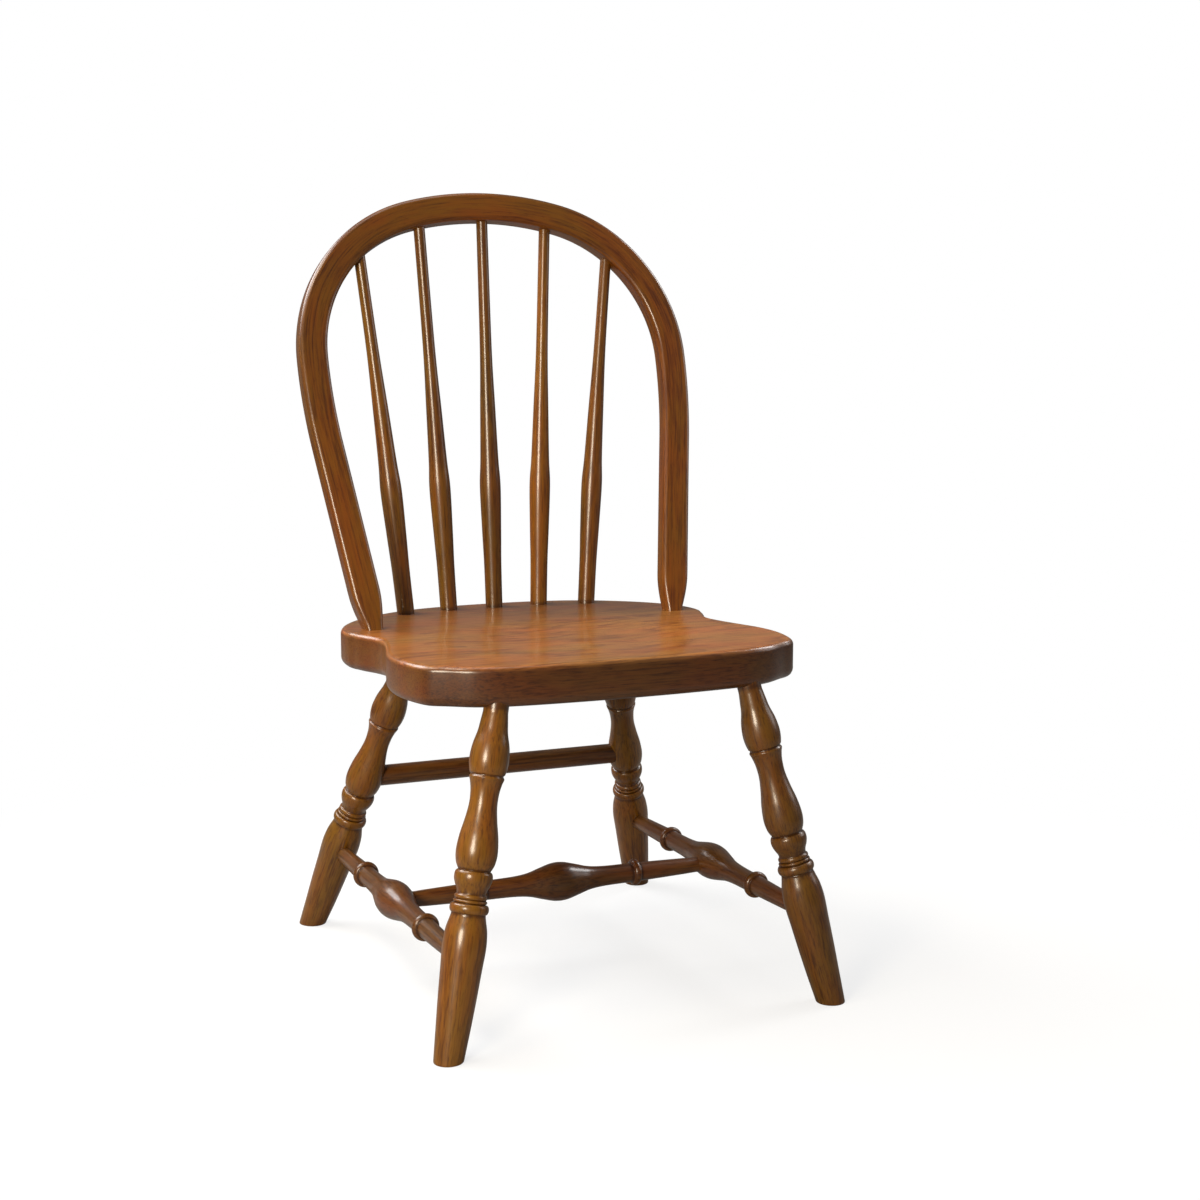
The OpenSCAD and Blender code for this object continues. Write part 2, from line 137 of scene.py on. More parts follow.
class TurnedShape(PropertyGroup):
    """Diameters of the turned pieces."""

    spindle_foot: length("Spindle at the seat", "Diameter at the seat", 0.0158)
    spindle_swell: length("Spindle's swell", "Greatest diameter of a spindle", 0.0196)
    spindle_tip: length("Spindle at the bow", "Diameter at the bow", 0.0104)
    swell_height: length("Swell's height", "Height of a spindle's swell above the seat", 0.117)
    spring: length("Spring", "How far an outer spindle bends in at mid-height", 0.0015)
    leg_neck: length("Leg's neck", "Diameter under the seat", 0.020)
    leg_foot: length("Leg's foot", "Diameter at the floor", 0.0238)
    leg_calf: length("Leg's calf", "Greatest diameter of the long foot", 0.0346)
    leg_vase: length("Leg's vases", "Diameter of the vase turnings", 0.033)
    leg_bead: length("Leg's bead", "Diameter of the big bead", 0.031)
    side_swell: length("Side swell", "Greatest diameter of a side stretcher", 0.0322)
    centre_swell: length("Centre swell", "Greatest diameter of the centre stretcher", 0.0344)
    ring: length("Rings", "Diameter of the turned rings", 0.0236)
    shank: length("Shanks", "Diameter of the plain stretches beside a ring", 0.017)
    stretcher_end: length("Stretcher's end", "Diameter of a turned stretcher's ends", 0.0136)
    side_ring: length("Side rings", "From a side stretcher's middle to each ring", 0.0845)
    centre_ring: length("Centre rings", "From the centre stretcher's middle to each ring", 0.074)
    rear: length("Rear dowel", "Diameter of the rear dowel", 0.019)
    ease: length("Ease", "How far the lacquer rounds the corners of the turnings", 0.00035)


class WoodFinish(PropertyGroup):
    """Stain and lacquer."""

    seat: colour("Seat", "Stain on the seat's top", (0.322, 0.117, 0.025))
    rim: colour("Rim", "Stain round the seat's edge and under it", (0.074, 0.025, 0.005))
    bow: colour("Bow", "Stain on the bow", (0.136, 0.044, 0.0025))
    leg: colour("Legs", "Stain on the legs and spindles", (0.164, 0.063, 0.0045))
    stretcher: colour("Stretchers", "Stain on the stretchers", (0.104, 0.037, 0.007))
    dark: share("Glaze", "How much the grain and the grooves darken the stain", 0.85)
    gloss: share("Roughness", "Roughness of the lacquer", 0.33)


class Studio(PropertyGroup):
    """Camera, floor and lights."""

    lens: FloatProperty(name="Focal length", description="Millimetres on a 36 mm sensor",
                        default=59.03, unit="CAMERA")
    azimuth: degrees("Azimuth", "Turn of the view round the chair", -23.755)
    elevation: degrees("Elevation", "Height of the view above the horizon", 8.043)
    eye: FloatVectorProperty(name="Eye", description="Place of the camera", size=3,
                             default=(-0.64872, -1.57290, 0.56589), subtype="TRANSLATION")
    paper: colour("Floor", "Colour of the floor that the chair sees", (0.25, 0.24, 0.23))
    shadow: share("Lifted shadow", "How much of the shadow on the floor is left out", 0.75)
    level: share("Room light", "Strength of the light from the room", 0.05)
    mirror: share("Room in the lacquer", "How much of the white room the lacquer mirrors", 0.11)
    sheen: share("Floor in the lacquer", "How much of the white floor the lacquer mirrors", 0.03)
    warm: colour("Warm light", "Colour of the two lamps at the front left", (1.0, 0.87, 0.68))
    key: watts("Key", "Power of the lamp at the front left", 31.0)
    high: watts("High", "Power of the lamp above it", 12.0)
    left: watts("Left", "Power of the wide lamp above the left side", 17.0)
    near: watts("Near", "Power of the lamp close to the left side", 5.0)
    rear: watts("Rear", "Power of the lamp behind the left side", 19.0)
    top: watts("Top", "Power of the wide lamp above the chair", 8.0)
    right: watts("Right", "Power of the lamp at the right side", 13.0)
    low: watts("Low", "Power of the wide low lamp on the right", 6.0)


# Curves and surfaces


def blended(knots, per_span, closed=False):
    """Smooth curve through the knots. Between knots b and c it leaves b along c - a and meets c
    along d - b, where a and d are the neighbours: a cubic in the share t of the way."""
    p = np.asarray(knots, float)
    n = len(p)
    spans = n if closed else n - 1
    i = np.repeat(np.arange(spans), per_span)
    t = np.tile(np.arange(per_span) / per_span, spans)[:, None]

    def knot(k):
        return p[k % n] if closed else p[np.clip(k, 0, n - 1)]

    a, b, c, d = knot(i - 1), knot(i), knot(i + 1), knot(i + 2)
    line = 0.5 * (2 * b + (c - a) * t + (2 * a - 5 * b + 4 * c - d) * t**2
                  + (3 * b - a - 3 * c + d) * t**3)
    return line if closed else np.vstack([line, p[-1:]])


def bead(low, high, radius, base, steps=14):
    """Half ellipse from height low to high, standing out from radius base to radius."""
    a = np.linspace(0, math.pi, steps)
    return np.column_stack([base + (radius - base) * np.sin(a),
                            (low + high) / 2 - (high - low) / 2 * np.cos(a)])


def bell(width, step):
    """Weights of a bell curve of that width, for points that lie step apart."""
    widths_kept = 4
    half = int(widths_kept * width / step)
    w = np.exp(-0.5 * (np.arange(-half, half + 1) * step / width) ** 2)
    return w / w.sum()


def averaged(line, width, step, closed=False):
    """Each column of the line averaged under a bell curve."""
    w = bell(width, step)
    half = len(w) // 2
    if closed:
        padded = np.pad(line, ((half, half), (0, 0)), mode="wrap")
    else:
        padded = np.pad(line, ((half, half), (0, 0)), mode="reflect", reflect_type="odd")
    return np.column_stack([np.convolve(c, w, "valid") for c in padded.T])


def run_along(line):
    """Distance of each point from the first one along the line."""
    return np.concatenate([[0], np.cumsum(np.linalg.norm(np.diff(line, axis=0), axis=1))])


def evenly(line, step, closed=False):
    """The line's points at equal distances of about step, and that distance."""
    if closed:
        line = np.vstack([line, line[:1]])
    run = run_along(line)
    count = max(int(round(run[-1] / step)), 8)
    at = np.linspace(0, run[-1], count + 1)
    points = np.column_stack([np.interp(at, run, c) for c in line.T])
    return (points[:-1] if closed else points), run[-1] / count


def eased(profile, width, count):
    """Profile [radius, height] with its corners eased by the width, then thinned to count
    points that stand closer where the line bends."""
    fine, reach, crowding = 0.0001, 0.0006, 0.45
    line, step = evenly(profile, fine)
    soft = averaged(line, width, step)
    bend = np.linalg.norm(np.gradient(np.gradient(soft, axis=0), axis=0), axis=1) / step**2
    near = np.clip(averaged(bend[:, None], reach, step)[:, 0], 0, None)
    weight = np.cumsum(1 + crowding * np.sqrt(near))
    pick = np.interp(np.linspace(weight[0], weight[-1], count), weight, np.arange(len(weight)))
    return np.column_stack([np.interp(pick, np.arange(len(soft)), c) for c in soft.T])


def hollow_of(profile):
    """How far each point of a profile lies under its surroundings: the average radius under a
    bell curve less its own one, as a share of the full depth."""
    step, reach, full = 0.0002, 0.0022, 0.0015
    heights = np.arange(profile[:, 1].min(), profile[:, 1].max(), step)
    order = np.argsort(profile[:, 1])
    radius = np.interp(heights, profile[order, 1], profile[order, 0])
    around = averaged(radius[:, None], reach, step)[:, 0]
    return np.clip(np.interp(profile[:, 1], heights, around - radius) / full, -1, 1)


def skin(name, rings, grain, shade, tone):
    """Closed surface over rings of points. Point i of ring j meets its neighbours i + 1 and
    j + 1 in a face, and a fan round a middle point closes each end. grain is each point's
    place in the log. shade is 1 where glaze fills a groove, or on the seat's edge, and less at
    the joints: glaze there, and painted shade where a leg or spindle meets the seat. tone is
    how light the wood is, as one number or one for each point; on the seat and the front
    right leg it is painted light and shade."""
    crease = math.radians(50)
    rows, around, _ = rings.shape
    i = np.arange(around)
    k = (i + 1) % around
    j = np.arange(rows - 1)[:, None] * around
    quads = np.stack([j + i, j + k, j + around + k, j + around + i], axis=-1).reshape(-1, 4)
    first = rows * around
    last = (rows - 1) * around
    low = np.column_stack([k, i, np.full(around, first)])
    high = np.column_stack([last + i, last + k, np.full(around, first + 1)])

    def with_ends(values):
        flat = values.reshape(rows * around, -1)
        return np.vstack([flat, values[0].mean(axis=0).reshape(1, -1),
                          values[-1].mean(axis=0).reshape(1, -1)])

    mesh = bpy.data.meshes.new(name)
    mesh.from_pydata(with_ends(rings).tolist(), [],
                     quads.tolist() + low.tolist() + high.tolist())
    mesh.polygons.foreach_set("use_smooth", np.ones(len(mesh.polygons), bool))
    mesh.set_sharp_from_angle(angle=crease)
    mesh.attributes.new("grain", "FLOAT_VECTOR", "POINT").data.foreach_set(
        "vector", with_ends(grain).astype(np.float32).ravel())
    mesh.attributes.new("shade", "FLOAT", "POINT").data.foreach_set(
        "value", with_ends(shade[..., None]).astype(np.float32).ravel())
    tone = np.broadcast_to(tone, shade.shape)[..., None]
    mesh.attributes.new("tone", "FLOAT", "POINT").data.foreach_set(
        "value", with_ends(tone).astype(np.float32).ravel())
    mesh.update()
    piece = bpy.data.objects.new(name, mesh)
    bpy.context.scene.collection.objects.link(piece)
    return piece


def dressed(piece, material, slot, *nodes):
    """Gives a piece its material and the body it rides on, and hides the CAD nodes that it stands
    for.
    """
    piece.data.materials.append(material)
    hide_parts(*nodes)
    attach(piece, BODY)


# Turned pieces


def node_points(node):
    """The vertices of a CAD node."""
    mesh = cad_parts[node].data
    co = np.empty(len(mesh.vertices) * 3, np.float32)
    mesh.vertices.foreach_get("co", co)
    return co.reshape(-1, 3).astype(float)


def middle(points):
    """Middle of the box round the points."""
    return (points.min(axis=0) + points.max(axis=0)) / 2


def axis_of(node, along):
    """Middles of the two flat ends of a turned CAD node that lies roughly along one axis."""
    p = node_points(node)
    place = p[:, along]
    a = middle(p[place < place.min() + END_BAND])
    b = middle(p[place > place.max() - END_BAND])
    height = p @ ((b - a) / np.linalg.norm(b - a))
    return (middle(p[height < height.min() + FACE_BAND]),
            middle(p[height > height.max() - FACE_BAND]))


def leg_axis(node):
    """Middle of a leg's end on the floor, and of its neck's end in the seat."""
    p = node_points(node)
    base = middle(p[p[:, 2] < FLOOR_BAND])
    top = middle(p[p[:, 2] > p[:, 2].max() - END_BAND])
    height = p @ ((top - base) / np.linalg.norm(top - base))
    return base, middle(p[height > height.max() - FACE_BAND])


def turned(name, profile, a, b, place, tone, around, level=0.0, spring=0.0, joints=()):
    """Surface of revolution on the line from a to b. A point of the profile [radius, height]
    goes round the line. With a level, the rings near a are slid along the line until the
    first one lies flat. With a spring, the line bends towards +X by that much times the sine
    of the way along it. At the joints, which are heights on the line, the colour darkens in a
    bell curve: glaze in the joint, and painted shade where a leg or spindle meets the seat.
    place picks the spot in the log that the grain comes from."""
    off_line = [0.31, 0.95, 0.05]
    joint_glaze_and_shade, joint_width = 0.45, 0.0028
    run = np.linalg.norm(b - a)
    way = (b - a) / run
    side = np.cross(way, off_line)
    side /= np.linalg.norm(side)
    front = np.cross(way, side)
    turn = np.arange(around) / around * 2 * math.pi
    out = np.cos(turn)[:, None] * side + np.sin(turn)[:, None] * front
    radius, height = profile[:, 0][:, None], np.repeat(profile[:, 1][:, None], around, axis=1)
    if level:
        near = np.clip(1 - height / level, 0, 1)
        height = height - near * near * (3 - 2 * near) * radius * out[:, 2] / way[2]
    rings = a + height[..., None] * way + radius[..., None] * out
    rings[..., 0] += spring * np.sin(height / run * math.pi)
    grain = np.stack([radius * np.cos(turn), radius * np.sin(turn), height], axis=-1)
    deep = hollow_of(profile)
    # Darker rings at the joints: glaze in the joint, and painted shade where a leg or spindle
    # meets the seat
    for joint in joints:
        near = np.exp(-(((profile[:, 1] - joint) / joint_width) ** 2))
        deep = np.maximum(deep, joint_glaze_and_shade * near)
    shade = np.repeat(deep[:, None], around, axis=1)
    return skin(name, rings, grain + place, shade, tone)


def log_place(number):
    """A spot in the log for one piece, by its distances from the pith and along the trunk.
    The golden angle and the golden ratio keep the spots apart."""
    golden_angle, golden_ratio = 2.399963, 0.618034
    nearest, spread, rise = 0.045, 0.03, 0.731
    turn = number * golden_angle
    reach = nearest + spread * (number * golden_ratio % 1)
    return np.array([reach * math.cos(turn), reach * math.sin(turn), number * rise])


def joined(parts):
    """Parts of a profile in millimetres as one line in metres."""
    return np.vstack([np.asarray(p, float) for p in parts]) * MM


def leg_profile(sizes, run):
    """Foot, bead, rings, cup, lower vase, collar, upper vase and neck, in [radius, height]:
    smooth curves through knots, and half ellipses for the bead and the rings."""
    vase, ball = sizes.leg_vase / 2 / MM, sizes.leg_bead / 2 / MM
    calf, foot = sizes.leg_calf / 2 / MM, sizes.leg_foot / 2 / MM
    neck, end = sizes.leg_neck / 2 / MM, run / MM
    turn = np.linspace(0, math.pi / 2, 8)
    rim = np.column_stack([foot - 1 + np.sin(turn), 1 - np.cos(turn)])
    return joined([
        [[PIN, 0]],
        rim,
        blended([[foot, 1], [foot + 1.7, 25], [calf - 2.2, 48], [calf - 1, 71], [calf, 89],
                 [calf - 0.8, 101], [calf - 2.6, 109], [calf - 3.6, 113]], 12),
        [[calf - 3.6, 114.3], [ball - 2.2, 114.6]],
        bead(114.6, 122.2, ball, ball - 2.2),
        [[ball - 3.4, 122.5]],
        bead(122.7, 125.3, ball - 2, ball - 3.4),
        bead(125.6, 129.4, ball - 2.6, ball - 4),
        blended([[ball - 4.1, 130], [ball - 3.5, 133], [ball - 1.6, 137], [ball - 0.4, 141],
                 [ball - 0.4, 145], [ball - 1.4, 147.4]], 8),
        [[vase - 3.9, 148.2]],
        blended([[vase - 3.2, 148.9], [vase - 0.9, 154.5], [vase, 163], [vase - 1.2, 175],
                 [vase - 3.6, 187], [vase - 5.3, 199], [vase - 5.1, 209], [vase - 3.9, 216],
                 [vase - 2.4, 220.6]], 12),
        [[vase - 3.6, 222.4], [vase - 3.6, 222.9]],
        blended([[vase - 2.4, 224], [vase - 1.2, 229.5], [vase - 0.8, 236.5],
                 [vase - 1.9, 246], [vase - 4.4, 256], [neck + 1, 264], [neck, 272]], 12),
        [[neck, end - 1.5], [neck - 1, end], [PIN, end]],
    ])


def spindle_profile(sizes, run, tenon):
    """Foot, slow swell, long taper and tip, in [radius, height] from the tenon's end: a smooth
    curve through knots above a plain tenon."""
    foot, swell = sizes.spindle_foot / 2 / MM, sizes.spindle_swell / 2 / MM
    tip, rise = sizes.spindle_tip / 2 / MM, sizes.swell_height / MM
    low, end = -tenon / MM, (run - tenon) / MM
    return [0, tenon] + joined([
        [[PIN, low], [foot, low]],
        blended([[foot, 0], [foot + 0.25, 40], [foot + 1.1, rise - 45], [swell, rise - 4],
                 [swell - 1.3, rise + 22], [tip + 1.9, rise + 70], [tip + 0.4, rise + 125],
                 [tip, end - 30]], 16),
        [[tip, end - 1], [tip - 0.8, end], [PIN, end]],
    ])


def stretcher_profile(sizes, run, swell, bulge, ring, end):
    """Swell, shank, ring, shank and thin end, mirrored about the middle. The points are
    [radius, height] from one end, and run is the full length. From the middle it is bulge to
    the end of the swell, ring to the ring and end to where the taper stops."""
    swell, shank, thin = swell / 2 / MM, sizes.shank / 2 / MM, sizes.stretcher_end / 2 / MM
    bulge, ring, end, tip = bulge / MM, ring / MM, end / MM, run / 2 / MM
    fall = swell - shank
    half = joined([
        blended([[swell, 0], [swell - 0.09 * fall, bulge * 0.16],
                 [swell - 0.42 * fall, bulge * 0.4], [shank + 0.22 * fall, bulge * 0.66],
                 [shank + 0.4, bulge], [shank, ring - 4]], 14),
        bead(ring - 3.6, ring + 3.6, sizes.ring / 2 / MM, shank),
        [[shank, ring + 4], [thin + 0.25 * (shank - thin), end - 10], [thin, end],
         [thin, tip - 1], [thin - 0.8, tip], [PIN, tip]],
    ])
    other = half[:0:-1] * [1, -1]
    return np.vstack([other, half]) + [0, run / 2]


def dowel_profile(sizes, run):
    """Plain stick with thinner tenons and chamfered shoulders, in [radius, height]."""
    radius, tenon, chamfer, shoulder = sizes.rear / 2, 0.006, 0.0008, 0.0228
    half = np.array([[PIN * MM, 0], [tenon, 0], [tenon, shoulder], [radius - chamfer, shoulder],
                     [radius, shoulder + chamfer]])
    return np.vstack([half, half[::-1] * [1, -1] + [0, run]])


class AddLegs(Operator):
    """Adds the four turned legs. Their feet are cut level with the floor."""

    bl_idname = "chair.add_legs"
    bl_label = "Legs"

    def execute(self, context):
        sizes = context.scene.chair_turned
        # The front right leg's low tone is painted shade, as if the seat shadowed it
        tones = {"front_left": 0.98, "front_right": 0.68, "rear_left": 0.90, "rear_right": 0.96}
        material = wood_material(context, "leg_wood", context.scene.chair_finish.leg, lines=0.12)
        for number, (place, tone) in enumerate(tones.items()):
            a, b = leg_axis("leg_" + place)
            run = np.linalg.norm(b - a)
            # The joint at the neck darkens the leg just under the seat: painted shade
            neck = (SEAT_LOW.z - a[2]) / (b - a)[2] * run
            profile = eased(leg_profile(sizes, run), sizes.ease, count=420)
            piece = turned("turned_leg_" + place, profile, a, b, log_place(number), tone,
                           around=80, level=0.03, joints=(neck,))
            dressed(piece, material, "turned_wood", "leg_" + place)
        return {"FINISHED"}


class AddSpindles(Operator):
    """Adds the five back spindles, numbered from the left. The outer ones bend in most."""

    bl_idname = "chair.add_spindles"
    bl_label = "Spindles"

    def execute(self, context):
        sizes = context.scene.chair_turned
        tones = (0.88, 0.77, 0.66, 1.07, 0.84)
        material = wood_material(context, "spindle_wood", context.scene.chair_finish.leg)
        for number, tone in enumerate(tones, 1):
            node = f"spindle_{number}"
            a, b = axis_of(node, 2)
            run = np.linalg.norm(b - a)
            # The joint at the tenon darkens the spindle's foot on the seat: painted contact shade
            tenon = (SEAT_HIGH.z - a[2]) / (b - a)[2] * run
            profile = eased(spindle_profile(sizes, run, tenon), sizes.ease, count=200)
            piece = turned("turned_" + node, profile, a, b, log_place(number + 10), tone,
                           around=48, spring=sizes.spring * (3 - number) / 2, joints=(tenon,))
            dressed(piece, material, "turned_wood", node)
        return {"FINISHED"}


class AddStretchers(Operator):
    """Adds the two side stretchers, the centre stretcher and the rear dowel. The tenons end
    past the middle of the leg and of the side stretcher that they sit in."""

    bl_idname = "chair.add_stretchers"
    bl_label = "Stretchers"

    def execute(self, context):
        sizes = context.scene.chair_turned
        finish = context.scene.chair_finish
        material = wood_material(context, "stretcher_wood", finish.stretcher)
        past_leg, past_side = 0.009, 0.0035
        housed = past_leg + sizes.leg_calf / 2 + SHOULDER_GAP
        for number, side in enumerate(("left", "right")):
            node = "side_stretcher_" + side
            a, b = axis_of(node, 1)
            run = np.linalg.norm(b - a)
            profile = stretcher_profile(sizes, run, swell=sizes.side_swell,
                                        bulge=sizes.side_ring * 0.62, ring=sizes.side_ring,
                                        end=run / 2 - housed)
            piece = turned("turned_" + node, eased(profile, sizes.ease, count=420), a, b,
                           log_place(number + 20), tone=1.0, around=64,
                           joints=(housed, run - housed))
            dressed(piece, material, "turned_wood", node)
        a, b = axis_of("centre_stretcher", 0)
        run = np.linalg.norm(b - a)
        end = run / 2 - past_side - sizes.side_swell / 2 - SHOULDER_GAP
        profile = stretcher_profile(sizes, run, swell=sizes.centre_swell,
                                    bulge=sizes.centre_ring * 0.6, ring=sizes.centre_ring,
                                    end=end)
        piece = turned("turned_centre_stretcher", eased(profile, sizes.ease, count=420), a, b,
                       log_place(23), tone=0.95, around=64)
        dressed(piece, material, "turned_wood", "centre_stretcher")
        a, b = axis_of("rear_stretcher", 0)
        profile = dowel_profile(sizes, np.linalg.norm(b - a))
        piece = turned("turned_rear_stretcher", eased(profile, sizes.ease, count=160), a, b,
                       log_place(24), tone=0.9, around=56)
        dressed(piece, material, "turned_wood", "rear_stretcher")
        return {"FINISHED"}


# Bow


def bow_path(bow):
    """Flat centre line of the bow's right half as [x, height, turn]: arcs for the crown, the
    shoulder and the side, then a straight run down to the foot."""
    lean, square = bow.lean, math.pi / 2
    reach = bow.crown_radius - bow.shoulder_radius
    crown_z = bow.height - bow.crown_radius
    shoulder_x = reach * math.sin(bow.crown_half)
    shoulder_z = crown_z + reach * math.cos(bow.crown_half)
    side_x = shoulder_x + bow.shoulder_radius - bow.side_radius
    end_x = side_x + bow.side_radius * math.sin(square + lean)
    end_z = shoulder_z + bow.side_radius * math.cos(square + lean)
    foot_x = end_x - end_z * math.tan(lean)

    def arc(x, z, radius, start, stop, steps):
        a = np.linspace(start, stop, steps, endpoint=False)
        return np.column_stack([x + radius * np.sin(a), z + radius * np.cos(a), a])

    down = np.linspace(end_z / math.cos(lean), 0, 60)
    straight = np.column_stack([foot_x + down * math.sin(lean), down * math.cos(lean),
                                np.full(len(down), square + lean)])
    return np.vstack([
        arc(0, crown_z, bow.crown_radius, 0, bow.crown_half, 20),
        arc(shoulder_x, shoulder_z, bow.shoulder_radius, bow.crown_half, square, 60),
        arc(side_x, shoulder_z, bow.side_radius, square, square + lean, 24),
        straight])


def rounded_section(width, thickness, radius, steps=11):
    """Rounded rectangle of each station, across and through the bow, from four quarter arcs."""
    a = np.linspace(0, math.pi / 2, steps)
    corner = np.repeat(np.arange(4), steps)
    turn = np.tile(a, 4) + corner * math.pi / 2
    outer = np.where((corner == 0) | (corner == 3), 1, -1)
    rear = np.where(corner < 2, 1, -1)
    across = outer * (width[:, None] / 2 - radius) + radius * np.cos(turn)
    through = rear * (thickness[:, None] / 2 - radius) + radius * np.sin(turn)
    return across, through


class AddBow(Operator):
    """Adds the bent bow. Its section is carried along the flat path, thinned towards the feet
    by a quarter sine, and raked back. Its colour is darkest on the left shoulder."""

    bl_idname = "chair.add_bow"
    bl_label = "Bow"

    def execute(self, context):
        bow = context.scene.chair_bow
        right = bow_path(bow)
        left = right[:0:-1] * [-1, 1, -1]
        path = np.vstack([left, right])
        fill = np.sin(np.clip(path[:, 1] / bow.taper, 0, 1) * math.pi / 2)
        width = bow.foot_width + (bow.width - bow.foot_width) * fill
        thickness = bow.foot_thickness + (bow.thickness - bow.foot_thickness) * fill
        across, through = rounded_section(width, thickness, bow.rounding)
        middle_x, middle_h, turn = path.T[..., None]
        x = middle_x + across * np.sin(turn)
        h = middle_h + across * np.cos(turn)
        rings = np.stack([x, bow.foot_y + h * math.sin(bow.rake) + through * math.cos(bow.rake),
                          SEAT_HIGH.z + h * math.cos(bow.rake) - through * math.sin(bow.rake)],
                         axis=-1)
        run = run_along(path[:, :2])
        grain = np.stack([across, through, np.repeat(run[:, None], across.shape[1], axis=1)],
                         axis=-1) + log_place(30)
        sunk = 0.002
        for end in (0, -1):
            low = rings[end][:, 2] - (SEAT_HIGH.z - sunk)
            rings[end] -= low[:, None] * np.array([0, math.tan(bow.rake), 1])
        places = [0.0, 0.14, 0.33, 0.42, 0.5, 0.62, 0.8]
        tones = [1.0, 0.98, 0.72, 0.82, 0.95, 1.0, 1.12]
        tone = np.interp(run / run[-1], places, tones)
        piece = skin("bent_bow", rings[:, ::-1], grain[:, ::-1], np.zeros(across.shape),
                     tone[:, None])
        material = wood_material(context, "bow_wood", context.scene.chair_finish.bow, lines=0.08,
                                 mottle=1.0)
        dressed(piece, material, "bow_wood", "bow")
        return {"FINISHED"}


# Seat


def seat_outline(seat):
    """Plan of the seat, anticlockwise from the back middle: knots down the right half, mirrored
    and joined by a smooth curve, then evened out and softened."""
    step, soft = 0.001, 0.0012
    ear, waist = seat.ear_width / 2 / MM, seat.waist_width / 2 / MM
    front, back, nose = seat.front_width / 2 / MM, seat.back / MM, seat.front / MM
    half = np.array([
        [0, back], [42, back - 2], [80, back - 10], [114, back - 26.5], [142, back - 49],
        [ear - 12, 104], [ear - 2.5, 83], [ear, 66], [ear - 0.6, 55], [ear - 3, 47.5],
        [waist + 9.5, 38], [waist + 3, 22], [waist, 6], [waist + 3, -13],
        [front - 9.5, -36], [front - 2.5, -60], [front, -84], [front - 2.5, -108],
        [front - 10, -131], [front - 25, 26.5 - nose], [front - 46, 13 - nose],
        [front - 76, 5 - nose], [50, 1 - nose], [0, -nose],
    ]) * MM
    left = half[1:-1] * [-1, 1]
    line = blended(np.vstack([half[:1], left, half[:0:-1]]), 24, closed=True)
    line, step = evenly(line, step, closed=True)
    return averaged(line, soft, step, closed=True)


def inset(plan, distance):
    """Plan moved inwards along its own normals."""
    along = np.roll(plan, -1, axis=0) - np.roll(plan, 1, axis=0)
    along /= np.linalg.norm(along, axis=1)[:, None]
    return plan + distance * np.column_stack([-along[:, 1], along[:, 0]])


def saddle(seat, p):
    """Depth under the flat top: the smooth step of 1 less the squares of both distances from
    the bowl's middle, less a bell-shaped ridge that fades towards the back."""
    x, y = p[..., 0], p[..., 1]
    half_width, half_depth, ahead = 0.125, 0.105, 0.047
    ridge_width, ridge_start, ridge_run = 0.028, 0.022, 0.090
    bowl = np.clip(1 - (x / half_width) ** 2 - ((y + ahead) / half_depth) ** 2, 0, 1)
    ridge = np.exp(-((x / ridge_width) ** 2)) * np.clip(-(y + ridge_start) / ridge_run, 0, 1)
    return bowl * bowl * (3 - 2 * bowl) * (seat.dish - seat.pommel * ridge)


def seat_top_painted_shading(rings):
    """Painted shade and light on the seat's top, as a lightness: evenly darker towards the back,
    its right side lighter at the front and darker at the back, and a painted contact shadow in a
    bell curve round each spindle's foot."""
    depth, half_width, spot = 0.09, 0.12, 0.012
    back_shade, right_light, foot_shadow = 0.32, 0.1, 0.4
    back = np.clip(rings[..., 1] / depth, 0, 1)
    right = np.clip(rings[..., 0] / half_width, -0.3, 1)
    tone = 1.0 - back_shade * back + right_light * right * (1 - 2 * back)
    for number in range(1, 6):
        a, b = axis_of(f"spindle_{number}", 2)
        foot = a + (b - a) * (SEAT_HIGH.z - a[2]) / (b - a)[2]
        gap = np.linalg.norm(rings[..., :2] - foot[:2], axis=-1)
        tone = tone * (1.0 - foot_shadow * np.exp(-((gap / spot) ** 2)))
    return tone


def seat_edge_painted_light(plan):
    """Painted light on the seat's edge: how much lighter it is, by the way it faces in degrees
    from the front towards the right: lightest on the left flank."""
    out = plan - inset(plan, MM)
    facing = np.degrees(np.arctan2(out[:, 0], -out[:, 1]))
    ways = [-180, -150, -110, -90, -60, -40]
    tones = [1.0, 1.2, 2.0, 2.0, 1.4, 1.0]
    return np.interp(facing, ways, tones)


